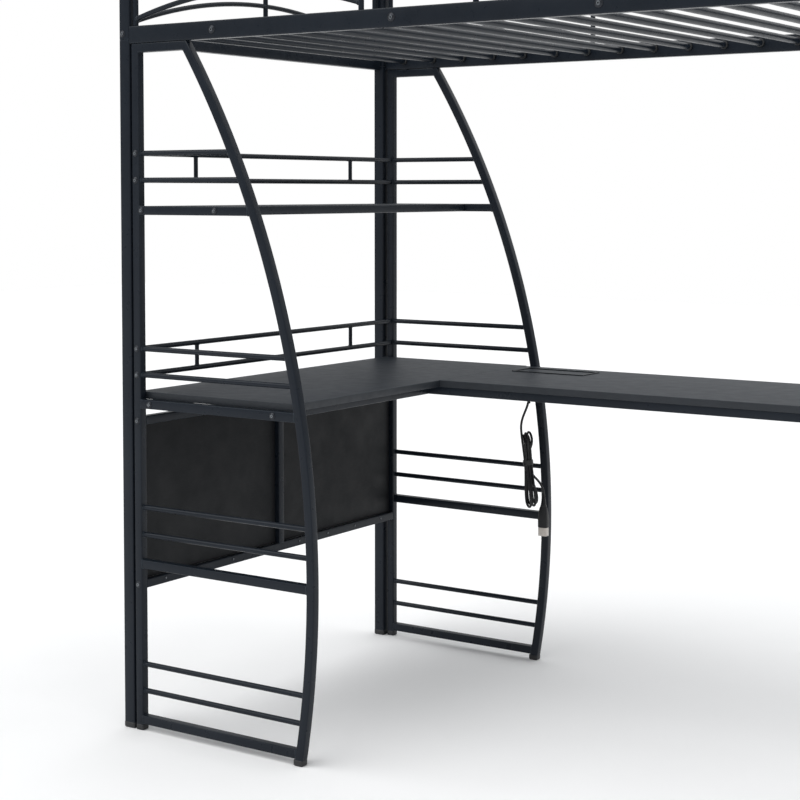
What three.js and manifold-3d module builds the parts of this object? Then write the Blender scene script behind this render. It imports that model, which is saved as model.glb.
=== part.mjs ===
// Loft bed with an L-shaped desk under it, a head-end shelf, a ladder and a flush power unit.
// Millimetres, +Z up. The bed is laid out from the outer corner of its head-end front post,
// with +X towards the foot end and +Y towards the back, then centred over the origin.
import * as THREE from 'three';
import { mergeVertices } from 'three/addons/utils/BufferGeometryUtils.js';
import Module from 'manifold-3d';

const wasm = await Module();
wasm.setup();

// ---- Driving dimensions ----
const LENGTH = 1940;
const WIDTH = 1030;
const GAP = 0.3;

const POST = 30;
const POST_WALL = 1.5;
const POST_JOINT_Z = 1560;
const POST_TOP = 1880;

const TUBE = 20;
const THIN_R = 6;
const BAR = 19.4;
const CORNER_R = 2.5;
const TUBE_WALL = 1.2;

const RAIL_Z = 1550;
const RAIL_H = 39;
const RAIL_TOP = RAIL_Z + RAIL_H;

const SLAT_COUNT = 20;
const SLAT_FIRST = 93;
const SLAT_R = 8;
const SLAT_Z = 1572;

// Side frames: an upright, a short top bar and one long arc, with welded bars.
const SIDE_X = 36;
const SIDE_TOP = RAIL_Z - GAP;
const ARC_CENTRE_X = -1620;
const ARC_CENTRE_Z = 380;
const ARC_R = 2160;
const SHELF_Z = 1178.5;
const DESK_BAR_Z = 744;
const THICK_BARS = [24.5, 381, DESK_BAR_Z, SHELF_Z];
const SHELF_GUARD = [1246, 1306];
const DESK_GUARD = [809, 868];
const THIN_BARS = [90, 151, 447, 509, ...DESK_GUARD, ...SHELF_GUARD];

const BOARD = 15;
const BOARD_CHAMFER = 1;
const DESK_TOP = 770;
const SHORT_DESK_X = [31, 475];
const LONG_DESK_X = [475.6, 1905];
const LONG_DESK_Y = [590, 999.5];
const SHELF_BOARD = 12;
const SHELF_CROSS_X = [62, 274];
const DESK_CROSS_X = [82, 431];

const PANEL_Z = [333, 705];
const PANEL_T = 4;
const PANEL_X = SIDE_X + 3;

const FRAME_Y = [592, 972];
const FRAME_X = [441.5, 1859.5];
const FRAME_CROSS_X = [480, 1160, FRAME_X[1] - TUBE];
const LEG_X = 1860;
const LEG_BAR_Z = 60;

const LADDER_X = [1612, 1885];
const RUNG_PITCH = 310;
const RUNG_COUNT = 4;
const RUNG_H = 25;

const GUARD_TOP = 1870;
const GUARD_END = 42;
const BALUSTER_R = 6;
const BALUSTER_X = 657;
const ARCH_FOOT = 1604;
const ARCH_RISE = 46;
const END_ARCH_RISE = 75;
const FRONT_GUARD_END = 1545;

// Power unit: a well with a flush flip lid, whose pivots are moulded into its back corners.
const WELL_X = [521, 712];
const WELL_Y = [868, 945.3];
const WELL_FLOOR = 742;
const BOX_WALL = 3;
const BOX_BOTTOM = 708;
const LID_GAP = 0.5;
const LID_T = 5;
const HINGE_Y = 942;
const HINGE_Z = DESK_TOP - LID_T / 2;
const PIVOT_R = 1;
const PIVOT_HOLE_R = 1.5;
const PIVOT_REACH = 1.8;

// Mains lead, folded into a hank under the power unit.
const CORD_R = 3;
const CORD_SIDES = 8;
const EXIT = new THREE.Vector3(530, 925, BOX_BOTTOM - GAP);
const RELIEF_L = 24;
const RELIEF_ROOT_R = 7.5;
const RELIEF_TIP_R = 4.4;
const RELIEF_COLLAR = 4;
const HANK = { x: 528, y: 930, z: 514, length: 196, width: 52, thick: 28 };
const HANK_LEAN = 6.5;
const HANK_TURN = -40;
const TIE_Z = 532;
// A pull sets how far the lead runs almost straight at each end of a bend.
const DROP_PULL = 25;
const TAIL_PULL = 40;
const PLUG = { x: 556, y: 957, boot: 450, body: 418, face: 364, tip: 343 };

const STEEL = 0x20262c;
const DESK_GREY = 0x4b5158;
const PANEL_GREY = 0x26292d;
const PLASTIC_BLACK = 0x15171a;
const steel = new THREE.MeshStandardMaterial({ color: STEEL, roughness: 0.5, metalness: 0.4 });
const laminate = new THREE.MeshStandardMaterial({ color: DESK_GREY, roughness: 0.6, metalness: 0 });
const panelSheet = new THREE.MeshStandardMaterial({ color: PANEL_GREY, roughness: 0.6, metalness: 0 });
const plastic = new THREE.MeshStandardMaterial({ color: PLASTIC_BLACK, roughness: 0.55, metalness: 0 });
const rubber = new THREE.MeshStandardMaterial({ color: PLASTIC_BLACK, roughness: 0.7, metalness: 0 });

const bed = new THREE.Group();
bed.position.set(-LENGTH / 2, -WIDTH / 2, 0);

// ---- Helpers ----
function add(name, geometry, material) {
  const mesh = new THREE.Mesh(geometry, material);
  mesh.name = name;
  bed.add(mesh);
  return mesh;
}

function toSolid(geometry) {
  const bare = geometry.clone();
  bare.deleteAttribute('normal');
  bare.deleteAttribute('uv');
  const merged = mergeVertices(bare, 1e-4);
  const triVerts = new Uint32Array(merged.index.array);
  const vertProperties = new Float32Array(merged.attributes.position.array);
  return new wasm.Manifold(new wasm.Mesh({ numProp: 3, vertProperties, triVerts }));
}

function toGeometry(solid) {
  const mesh = solid.getMesh();
  const geometry = new THREE.BufferGeometry();
  geometry.setAttribute('position', new THREE.BufferAttribute(mesh.vertProperties, 3));
  geometry.setIndex(new THREE.BufferAttribute(mesh.triVerts, 1));
  geometry.computeVertexNormals();
  return geometry;
}

function weld(...geometries) {
  return toGeometry(geometries.map(toSolid).reduce((whole, piece) => whole.add(piece)));
}

function cut(geometry, ...cutters) {
  return toGeometry(cutters.map(toSolid).reduce((rest, cutter) => rest.subtract(cutter), toSolid(geometry)));
}

function roundedRectangle(width, height, radius, Kind = THREE.Shape) {
  const x = width / 2 - radius;
  const y = height / 2 - radius;
  const outline = new Kind();
  outline.absarc(x, y, radius, 0, Math.PI / 2);
  outline.absarc(-x, y, radius, Math.PI / 2, Math.PI);
  outline.absarc(-x, -y, radius, Math.PI, 1.5 * Math.PI);
  outline.absarc(x, -y, radius, 1.5 * Math.PI, 2 * Math.PI);
  outline.closePath();
  return outline;
}

// Turns an extrusion along Z to run along the named axis, by cycling the axes.
function turnTo(axis, geometry) {
  const x = new THREE.Vector3(1, 0, 0);
  const y = new THREE.Vector3(0, 1, 0);
  const z = new THREE.Vector3(0, 0, 1);
  const bases = { x: [y, z, x], y: [z, x, y], z: [x, y, z] };
  return geometry.applyMatrix4(new THREE.Matrix4().makeBasis(...bases[axis]));
}

// A rounded rectangular tube or bar that fills the box from low to high and runs along axis.
function beam(axis, low, high, wall = 0, radius = CORNER_R) {
  const index = 'xyz'.indexOf(axis);
  const size = high.map((value, i) => value - low[i]);
  const width = size[(index + 1) % 3];
  const height = size[(index + 2) % 3];
  const section = roundedRectangle(width, height, radius);
  if (wall > 0) {
    section.holes.push(roundedRectangle(width - 2 * wall, height - 2 * wall, radius - wall / 2, THREE.Path));
  }
  const settings = { depth: size[index], bevelEnabled: false, curveSegments: 1 };
  const geometry = turnTo(axis, new THREE.ExtrudeGeometry(section, settings));
  const middle = low.map((value, i) => (i === index ? value : value + size[i] / 2));
  return geometry.translate(...middle);
}

function box(low, high) {
  const size = high.map((value, i) => value - low[i]);
  const middle = low.map((value, i) => value + size[i] / 2);
  return new THREE.BoxGeometry(...size).translate(...middle);
}

// A board with a small chamfer all round its top and bottom edges.
function board(low, high) {
  const size = high.map((value, i) => value - low[i]);
  const outline = new THREE.Shape();
  outline.moveTo(low[0], low[1]);
  outline.lineTo(high[0], low[1]);
  outline.lineTo(high[0], high[1]);
  outline.lineTo(low[0], high[1]);
  outline.closePath();
  const geometry = new THREE.ExtrudeGeometry(outline, {
    depth: size[2] - 2 * BOARD_CHAMFER,
    bevelThickness: BOARD_CHAMFER,
    bevelSize: BOARD_CHAMFER,
    bevelOffset: -BOARD_CHAMFER,
    bevelSegments: 1,
  });
  return geometry.translate(0, 0, low[2] + BOARD_CHAMFER);
}

function rod(axis, start, length, radius, sides = 12) {
  const geometry = new THREE.CylinderGeometry(radius, radius, length, sides);
  geometry.rotateX(Math.PI / 2);
  geometry.translate(0, 0, length / 2);
  return turnTo(axis, geometry).translate(...start);
}

function roundTube(axis, start, length, radius, wall, sides) {
  const section = new THREE.Shape();
  section.absarc(0, 0, radius, 0, 2 * Math.PI);
  const bore = new THREE.Path();
  bore.absarc(0, 0, radius - wall, 0, 2 * Math.PI);
  section.holes.push(bore);
  const settings = { depth: length, bevelEnabled: false, curveSegments: sides / 2 };
  return turnTo(axis, new THREE.ExtrudeGeometry(section, settings)).translate(...start);
}

// A round bar that follows a path.
function sweep(path, radius, sides, steps) {
  const section = new THREE.Shape();
  for (let i = 0; i < sides; i += 1) {
    const angle = (2 * Math.PI * i) / sides;
    const corner = [radius * Math.cos(angle), radius * Math.sin(angle)];
    if (i === 0) {
      section.moveTo(...corner);
    } else {
      section.lineTo(...corner);
    }
  }
  section.closePath();
  return new THREE.ExtrudeGeometry(section, { steps, extrudePath: path, bevelEnabled: false });
}

function arch(start, end, rise) {
  const middle = start.clone().lerp(end, 0.5);
  middle.z += 2 * rise;
  const sides = 8;
  const steps = 12;
  return sweep(new THREE.QuadraticBezierCurve3(start, middle, end), BALUSTER_R, sides, steps);
}

// ---- Posts, rails and slats ----
function addPosts() {
  const corners = [
    ['head_front', 0, 0],
    ['head_back', 0, WIDTH - POST],
    ['foot_front', LENGTH - POST, 0],
    ['foot_back', LENGTH - POST, WIDTH - POST],
  ];
  for (const [name, x, y] of corners) {
    const lower = beam('z', [x, y, 0], [x + POST, y + POST, POST_JOINT_Z - GAP], POST_WALL);
    const upper = beam('z', [x, y, POST_JOINT_Z], [x + POST, y + POST, POST_TOP], POST_WALL);
    add(`post_lower_${name}`, lower, steel);
    add(`post_upper_${name}`, upper, steel);
  }
}

function addRails() {
  const far = WIDTH - TUBE;
  const sideEnd = LENGTH - POST - GAP;
  const sideStart = POST + GAP;
  const endStop = WIDTH - POST - GAP;
  const foot = LENGTH - TUBE;
  add('side_rail_front', beam('x', [sideStart, 0, RAIL_Z], [sideEnd, TUBE, RAIL_TOP], TUBE_WALL), steel);
  add('side_rail_back', beam('x', [sideStart, far, RAIL_Z], [sideEnd, WIDTH, RAIL_TOP], TUBE_WALL), steel);
  add('end_rail_head', beam('y', [0, sideStart, RAIL_Z], [TUBE, endStop, RAIL_TOP], TUBE_WALL), steel);
  add('end_rail_foot', beam('y', [foot, sideStart, RAIL_Z], [LENGTH, endStop, RAIL_TOP], TUBE_WALL), steel);
}

function addSlats() {
  const pitch = (LENGTH - 2 * SLAT_FIRST) / (SLAT_COUNT - 1);
  const length = WIDTH - 2 * (TUBE + GAP);
  for (let i = 0; i < SLAT_COUNT; i += 1) {
    const start = [SLAT_FIRST + i * pitch, TUBE + GAP, SLAT_Z];
    const name = `slat_${String(i + 1).padStart(2, '0')}`;
    add(name, roundTube('y', start, length, SLAT_R, TUBE_WALL, 12), steel);
  }
}

// ---- Side frames of the head end ----
function arcX(z, radius) {
  return ARC_CENTRE_X + Math.sqrt(radius ** 2 - (z - ARC_CENTRE_Z) ** 2);
}

function arcAngle(z, radius) {
  return Math.asin((z - ARC_CENTRE_Z) / radius);
}

function sideFrameLoop() {
  const bevel = 2;
  const innerR = ARC_R - TUBE;
  const under = SIDE_TOP - TUBE;
  const outline = new THREE.Shape();
  outline.moveTo(SIDE_X, 0);
  outline.lineTo(SIDE_X + TUBE, 0);
  outline.lineTo(SIDE_X + TUBE, under);
  outline.lineTo(arcX(under, innerR), under);
  outline.absarc(ARC_CENTRE_X, ARC_CENTRE_Z, innerR, arcAngle(under, innerR), arcAngle(0, innerR), true);
  outline.lineTo(arcX(0, ARC_R), 0);
  outline.absarc(ARC_CENTRE_X, ARC_CENTRE_Z, ARC_R, arcAngle(0, ARC_R), arcAngle(SIDE_TOP, ARC_R));
  outline.lineTo(SIDE_X, SIDE_TOP);
  outline.closePath();
  const geometry = new THREE.ExtrudeGeometry(outline, {
    depth: TUBE - 2 * bevel,
    bevelThickness: bevel,
    bevelSize: bevel,
    bevelOffset: -bevel,
    bevelSegments: 1,
    curveSegments: 12,
  });
  return geometry.rotateX(Math.PI / 2).translate(0, TUBE - bevel, 0);
}

function sideFrame() {
  const start = SIDE_X + TUBE / 2;
  const inset = (TUBE - BAR) / 2;
  const thick = THICK_BARS.map((z) =>
    beam('x', [start, inset, z - BAR / 2], [arcX(z, ARC_R - TUBE / 2), inset + BAR, z + BAR / 2]));
  const thin = THIN_BARS.map((z) =>
    rod('x', [start, TUBE / 2, z], arcX(z, ARC_R - TUBE / 2) - start, THIN_R));
  return weld(sideFrameLoop(), ...thick, ...thin);
}

function addSideFrames() {
  add('side_frame_front', sideFrame(), steel);
  const back = add('side_frame_back', sideFrame(), steel);
  back.position.y = WIDTH - TUBE;
}

function addCrossTubes() {
  const low = TUBE + GAP;
  const high = WIDTH - TUBE - GAP;
  const half = TUBE / 2;
  const sets = [['shelf_cross', SHELF_CROSS_X, SHELF_Z], ['desk_cross', DESK_CROSS_X, DESK_BAR_Z]];
  for (const [name, places, z] of sets) {
    const [head, room] = places;
    const headTube = beam('y', [head - half, low, z - half], [head + half, high, z + half], TUBE_WALL);
    const roomTube = beam('y', [room - half, low, z - half], [room + half, high, z + half], TUBE_WALL);
    add(`${name}_head`, headTube, steel);
    add(`${name}_room`, roomTube, steel);
  }
}

// Two long bars across the head end, joined by two short uprights.
function barGuard(heights) {
  const x = SIDE_X + TUBE / 2;
  const start = TUBE + GAP;
  const length = WIDTH - 2 * start;
  const [low, high] = heights;
  const bars = heights.map((z) => rod('y', [x, start, z], length, THIN_R));
  const ties = [0.2, 0.8].map((share) => rod('z', [x, WIDTH * share, low], high - low, THIN_R - 1));
  return weld(...bars, ...ties);
}

function addModestyPanels() {
  const low = TUBE + GAP;
  const high = WIDTH - TUBE - GAP;
  const half = TUBE / 2;
  const middle = WIDTH / 2;
  const x = [SIDE_X, SIDE_X + TUBE];
  const bars = PANEL_Z.map((z) => beam('y', [x[0], low, z - half], [x[1], high, z + half]));
  const upright = beam('z', [x[0], middle - half, PANEL_Z[0]], [x[1], middle + half, PANEL_Z[1]]);
  add('modesty_frame', weld(...bars, upright), steel);
  const sides = [['front', low, middle - half - GAP], ['back', middle + half + GAP, high]];
  for (const [name, start, end] of sides) {
    const bottom = [PANEL_X, start, PANEL_Z[0] + half + GAP];
    const top = [PANEL_X + PANEL_T, end, PANEL_Z[1] - half - GAP];
    add(`modesty_panel_${name}`, box(bottom, top), panelSheet);
  }
}

// ---- Boards, desk frame and leg ----
function addBoards() {
  const under = DESK_TOP - BOARD;
  const low = TUBE + GAP;
  const high = WIDTH - TUBE - GAP;
  add('desk_board_short', board([SHORT_DESK_X[0], low, under], [SHORT_DESK_X[1], high, DESK_TOP]), laminate);
  const long = board([LONG_DESK_X[0], LONG_DESK_Y[0], under], [LONG_DESK_X[1], LONG_DESK_Y[1], DESK_TOP]);
  const reach = BOX_WALL + GAP;
  const opening = box(
    [WELL_X[0] - reach, WELL_Y[0] - reach, under - 1],
    [WELL_X[1] + reach, WELL_Y[1] + reach, DESK_TOP + 1],
  );
  add('desk_board_long', cut(long, opening), laminate);
  const shelfTop = SHELF_Z + TUBE / 2;
  const half = TUBE / 2 + GAP;
  const shelfLow = [SHELF_CROSS_X[0] + half, low, shelfTop - SHELF_BOARD];
  const shelfHigh = [SHELF_CROSS_X[1] - half, high, shelfTop];
  add('shelf_board', board(shelfLow, shelfHigh), laminate);
}

function addDeskFrame() {
  const top = DESK_TOP - BOARD - GAP;
  const under = top - TUBE;
  const rails = FRAME_Y.map((y) => beam('x', [FRAME_X[0], y, under], [FRAME_X[1], y + TUBE, top]));
  const inset = (TUBE - BAR) / 2;
  const start = FRAME_Y[0] + TUBE / 2;
  const end = FRAME_Y[1] + TUBE / 2;
  const cross = FRAME_CROSS_X.map((x) =>
    beam('y', [x, start, under + inset], [x + TUBE - inset, end, top - inset]));
  add('desk_frame', weld(...rails, ...cross), steel);

  const legs = FRAME_Y.map((y) => beam('z', [LEG_X, y, 0], [LEG_X + TUBE, y + TUBE, top]));
  const ties = [LEG_BAR_Z, under].map((z) =>
    beam('y', [LEG_X + inset, start, z + inset], [LEG_X + TUBE - inset, end, z + TUBE - inset]));
  add('desk_end_leg', weld(...legs, ...ties), steel);
}

function addLadder() {
  const inset = (TUBE - BAR) / 2;
  const top = RAIL_Z - GAP;
  const stiles = LADDER_X.map((x) => beam('z', [x, 0, 0], [x + TUBE, TUBE, top]));
  const start = LADDER_X[0] + TUBE / 2;
  const end = LADDER_X[1] + TUBE / 2;
  const rungs = [];
  for (let i = 1; i <= RUNG_COUNT; i += 1) {
    const z = i * RUNG_PITCH;
    rungs.push(beam('x', [start, inset, z - RUNG_H / 2], [end, TUBE - inset, z + RUNG_H / 2]));
  }
  add('ladder', weld(...stiles, ...rungs), steel);
}

// ---- Guards above the rails ----
// A top tube on round uprights, with arched bars between the feet of some of them. Inside it,
// place(u, z) gives the point at u along the guard, at height z.
function guard(axis, length, uprights, arches, rise) {
  const bottom = RAIL_TOP + GAP;
  const top = GUARD_TOP - TUBE;
  const middle = TUBE / 2;
  const place = (u, z) => (axis === 'x' ? new THREE.Vector3(u, middle, z) : new THREE.Vector3(middle, u, z));
  const start = POST + GAP;
  const low = axis === 'x' ? [start, 0, top] : [0, start, top];
  const high = axis === 'x' ? [length, TUBE, GUARD_TOP] : [TUBE, length, GUARD_TOP];
  const topBar = beam(axis, low, high);
  const posts = uprights.map((u) =>
    rod('z', place(u, bottom).toArray(), top + TUBE / 2 - bottom, BALUSTER_R));
  const curves = arches.map(([from, to]) => arch(place(from, ARCH_FOOT), place(to, ARCH_FOOT), rise));
  return weld(topBar, ...posts, ...curves);
}

function addGuards() {
  const farEnd = LENGTH - GUARD_END;
  const mirror = LENGTH - BALUSTER_X;
  const frontMirror = GUARD_END + FRONT_GUARD_END - BALUSTER_X;
  const first = [GUARD_END, BALUSTER_X];
  const frontUprights = [...first, frontMirror, FRONT_GUARD_END];
  const frontArches = [first, [frontMirror, FRONT_GUARD_END]];
  const frontLength = FRONT_GUARD_END + TUBE / 2;
  add('guard_front', guard('x', frontLength, frontUprights, frontArches, ARCH_RISE), steel);

  const backArches = [first, [mirror, farEnd]];
  const backLength = LENGTH - POST - GAP;
  const back = guard('x', backLength, [...first, mirror, farEnd], backArches, ARCH_RISE);
  add('guard_back', back, steel).position.y = WIDTH - TUBE;

  const acrossEnd = WIDTH - GUARD_END;
  const uprights = [GUARD_END, WIDTH / 2, acrossEnd];
  const across = [[GUARD_END, acrossEnd]];
  const acrossLength = WIDTH - POST - GAP;
  add('guard_head', guard('y', acrossLength, uprights, across, END_ARCH_RISE), steel);
  const foot = guard('y', acrossLength, uprights, across, END_ARCH_RISE);
  add('guard_foot', foot, steel).position.x = LENGTH - TUBE;
}

// ---- Power unit and its lead ----
function addPowerUnit() {
  const outer = box(
    [WELL_X[0] - BOX_WALL, WELL_Y[0] - BOX_WALL, BOX_BOTTOM],
    [WELL_X[1] + BOX_WALL, WELL_Y[1] + BOX_WALL, DESK_TOP],
  );
  const well = box([WELL_X[0], WELL_Y[0], WELL_FLOOR], [WELL_X[1], WELL_Y[1], DESK_TOP + 1]);
  const holeLength = WELL_X[1] - WELL_X[0] + 2 * BOX_WALL + 2;
  const pivotHole = rod('x', [WELL_X[0] - BOX_WALL - 1, HINGE_Y, HINGE_Z], holeLength, PIVOT_HOLE_R, 16);
  add('power_box', cut(outer, well, pivotHole), plastic);

  const start = WELL_X[0] + LID_GAP;
  const length = WELL_X[1] - WELL_X[0] - 2 * LID_GAP;
  const plate = box([start, WELL_Y[0] + LID_GAP, DESK_TOP - LID_T], [start + length, HINGE_Y, DESK_TOP]);
  const barrel = rod('x', [start, HINGE_Y, HINGE_Z], length, LID_T / 2, 24);
  const reach = LID_GAP + PIVOT_REACH;
  const pivots = rod('x', [start - reach, HINGE_Y, HINGE_Z], length + 2 * reach, PIVOT_R, 12);
  add('power_lid', weld(plate, barrel, pivots), laminate);
}

function addLead() {
  const profile = [
    new THREE.Vector2(0, -RELIEF_L),
    new THREE.Vector2(RELIEF_TIP_R, -RELIEF_L),
    new THREE.Vector2(RELIEF_ROOT_R, -RELIEF_COLLAR),
    new THREE.Vector2(RELIEF_ROOT_R, 0),
    new THREE.Vector2(0, 0),
  ];
  const relief = new THREE.LatheGeometry(profile, 16).rotateX(Math.PI / 2);
  add('strain_relief', relief.translate(EXIT.x, EXIT.y, EXIT.z), rubber);

  const lean = THREE.MathUtils.degToRad(HANK_LEAN);
  const middle = new THREE.Vector3(HANK.x, HANK.y, HANK.z);
  const upright = new THREE.Vector3(-Math.sin(lean), 0, Math.cos(lean));
  const hankTop = middle.clone().addScaledVector(upright, HANK.length / 2);
  // The drop hangs straight out of the relief and enters the hank along its lean.
  const dropTop = EXIT.clone();
  dropTop.z -= RELIEF_L + GAP;
  const dropEnd = hankTop.clone().addScaledVector(upright, 2 * GAP);
  const below = dropTop.clone();
  below.z -= DROP_PULL;
  const above = dropEnd.clone().addScaledVector(upright, DROP_PULL);
  const drop = new THREE.CubicBezierCurve3(dropTop, below, above, dropEnd);
  add('cord_drop', sweep(drop, CORD_R, CORD_SIDES, 6), rubber);

  const half = HANK.width / 2;
  const straight = HANK.length / 2 - half;
  const outline = new THREE.Shape();
  outline.absarc(0, straight, half, 0, Math.PI);
  outline.absarc(0, -straight, half, Math.PI, 2 * Math.PI);
  outline.closePath();
  const settings = { depth: HANK.thick, bevelEnabled: false, curveSegments: 8 };
  const hank = new THREE.ExtrudeGeometry(outline, settings).rotateX(Math.PI / 2);
  hank.translate(0, HANK.thick / 2, 0).rotateZ(THREE.MathUtils.degToRad(HANK_TURN));
  hank.rotateY(-lean).translate(HANK.x, HANK.y, HANK.z);
  add('cord_hank', hank, rubber);

  // The tail swings from the tie to the plug, and starts where it leaves the hank's back.
  const waist = new THREE.Vector3(HANK.x, HANK.y, TIE_Z);
  const bootTop = new THREE.Vector3(PLUG.x, PLUG.y, PLUG.boot + 3 * GAP);
  const pull = new THREE.Vector3(0, 0, TAIL_PULL);
  const [out, over] = [waist.clone().sub(pull), bootTop.clone().add(pull)];
  const swing = new THREE.CubicBezierCurve3(waist, out, over, bootTop);
  const tail = new THREE.CatmullRomCurve3([0.5, 0.63, 0.76, 0.88, 1].map((t) => swing.getPoint(t)));
  add('cord_tail', sweep(tail, CORD_R, CORD_SIDES, 6), rubber);
  add('plug', plug(), rubber);
}

// A grounded mains plug that hangs with its prongs down.
function plug() {
  const collar = 8;
  const bootTip = 4.5;
  const bootProfile = [
    new THREE.Vector2(0, PLUG.body - 2),
    new THREE.Vector2(collar, PLUG.body - 2),
    new THREE.Vector2(collar, PLUG.body + 6),
    new THREE.Vector2(bootTip, PLUG.boot),
    new THREE.Vector2(0, PLUG.boot),
  ];
  const boot = new THREE.LatheGeometry(bootProfile, 16).rotateX(Math.PI / 2);
  const halfWidth = 13;
  const halfDepth = 10;
  const body = beam('z', [-halfWidth, -halfDepth, PLUG.face], [halfWidth, halfDepth, PLUG.body], 0, 5);
  const bladeX = 6.4;
  const bladeHalf = 0.8;
  const root = PLUG.face + 1;
  const blades = [-bladeX, bladeX].map((x) =>
    box([x - bladeHalf, -6, PLUG.tip], [x + bladeHalf, 0.5, root]));
  const groundY = 6;
  const groundR = 2.3;
  const ground = rod('z', [0, groundY, PLUG.tip], root - PLUG.tip, groundR);
  return weld(body, boot, ...blades, ground).translate(PLUG.x, PLUG.y, 0);
}

addPosts();
addRails();
addSlats();
addSideFrames();
addCrossTubes();
add('bar_guard_shelf', barGuard(SHELF_GUARD), steel);
add('bar_guard_desk', barGuard(DESK_GUARD), steel);
addModestyPanels();
addBoards();
addDeskFrame();
addLadder();
addGuards();
addPowerUnit();
addLead();

const model = new THREE.Group();
model.add(bed);
export default model;
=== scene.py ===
"""Looks of the loft bed with desk: tubes, boards, fasteners, power unit and lead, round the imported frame."""

import math
import random

import bmesh
import bpy
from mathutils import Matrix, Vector


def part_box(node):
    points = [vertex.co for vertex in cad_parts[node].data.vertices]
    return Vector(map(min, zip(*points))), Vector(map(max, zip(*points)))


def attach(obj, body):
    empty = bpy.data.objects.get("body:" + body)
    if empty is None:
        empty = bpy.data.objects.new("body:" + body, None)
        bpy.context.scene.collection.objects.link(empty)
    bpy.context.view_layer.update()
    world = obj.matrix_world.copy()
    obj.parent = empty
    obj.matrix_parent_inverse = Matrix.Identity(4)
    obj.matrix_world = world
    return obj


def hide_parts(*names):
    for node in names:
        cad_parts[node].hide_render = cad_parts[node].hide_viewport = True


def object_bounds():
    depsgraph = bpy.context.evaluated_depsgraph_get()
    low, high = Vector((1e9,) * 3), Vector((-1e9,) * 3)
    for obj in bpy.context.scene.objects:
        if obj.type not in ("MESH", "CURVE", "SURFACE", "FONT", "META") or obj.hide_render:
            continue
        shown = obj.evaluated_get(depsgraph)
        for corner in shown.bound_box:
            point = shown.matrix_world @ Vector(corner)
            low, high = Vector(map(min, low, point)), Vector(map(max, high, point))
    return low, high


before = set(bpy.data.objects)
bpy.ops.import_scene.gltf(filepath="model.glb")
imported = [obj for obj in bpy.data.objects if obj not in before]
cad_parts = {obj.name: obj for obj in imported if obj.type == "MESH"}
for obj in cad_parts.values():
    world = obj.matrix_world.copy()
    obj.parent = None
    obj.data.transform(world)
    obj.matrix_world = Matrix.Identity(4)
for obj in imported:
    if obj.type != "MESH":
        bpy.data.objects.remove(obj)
CAD_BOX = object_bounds()
random.seed(7)

# ---- Sizes, in metres, as in the CAD source ----
TUBE = 0.020
BAR = 0.0194  # a welded bar is a little slimmer than the tube that it meets
THIN_R = 0.006
BALUSTER_R = 0.006
EDGE_R = 0.0026  # outer corner of a square tube
BAR_EDGE_R = 0.0024
SOFT = 0.0005  # chamfer on a cut tube's end
END_SOFT = 0.0008  # the same on posts, rails and guards
SINK = 0.0005  # a welded bar runs this far into the tube
TUCK = 0.0006  # the same for a round bar, and how far in a weld bead is centred
FOOT_UP = 0.0006  # a tube starts this far above the floor, inside its cap
SEAT = 0.0012  # the desk boards reach this much lower than in CAD, onto the tubes under them
BODY = "frame"

SHELF_Z = 1.1785
DESK_BAR_Z = 0.744
DESK_GUARD = [0.809, 0.868]
SHELF_GUARD = [1.246, 1.306]
THICK_BARS = [0.0245, 0.381, DESK_BAR_Z, SHELF_Z]
THIN_BARS = [0.090, 0.151, 0.447, 0.509, *DESK_GUARD, *SHELF_GUARD]
ARC_R = 2.160
ARC_CENTRE_Z = 0.380
ARCH_FOOT = 1.604

CORD_D = 0.006
LID = "power_lid"

LOW, HIGH = CAD_BOX
LENGTH = HIGH.x - LOW.x
WIDTH = HIGH.y - LOW.y
FRONT = Vector((0, -1, 0))
BACK = Vector((0, 1, 0))
RIGHT = Vector((1, 0, 0))
UP = Vector((0, 0, 1))


def at(x, y, z):
    """A point measured from the head-end front post's outer corner on the floor."""
    return Vector((LOW.x + x, LOW.y + y, z))


# ---- Camera: at seated eye height in front of the desk, turned towards the head end ----
def make_camera():
    turn = math.radians(33.956)
    tilt = math.radians(2.926)
    data = bpy.data.cameras.new("camera")
    data.lens = 77.79
    data.sensor_width = 36.0
    data.shift_y = -0.15
    data.clip_end = 100
    camera = bpy.data.objects.new("camera", data)
    camera.location = at(2.6976, -2.8792, 1.2205)
    camera.rotation_euler = (math.pi / 2 - tilt, 0, turn)
    bpy.context.scene.collection.objects.link(camera)
    bpy.context.scene.camera = camera


make_camera()


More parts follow.
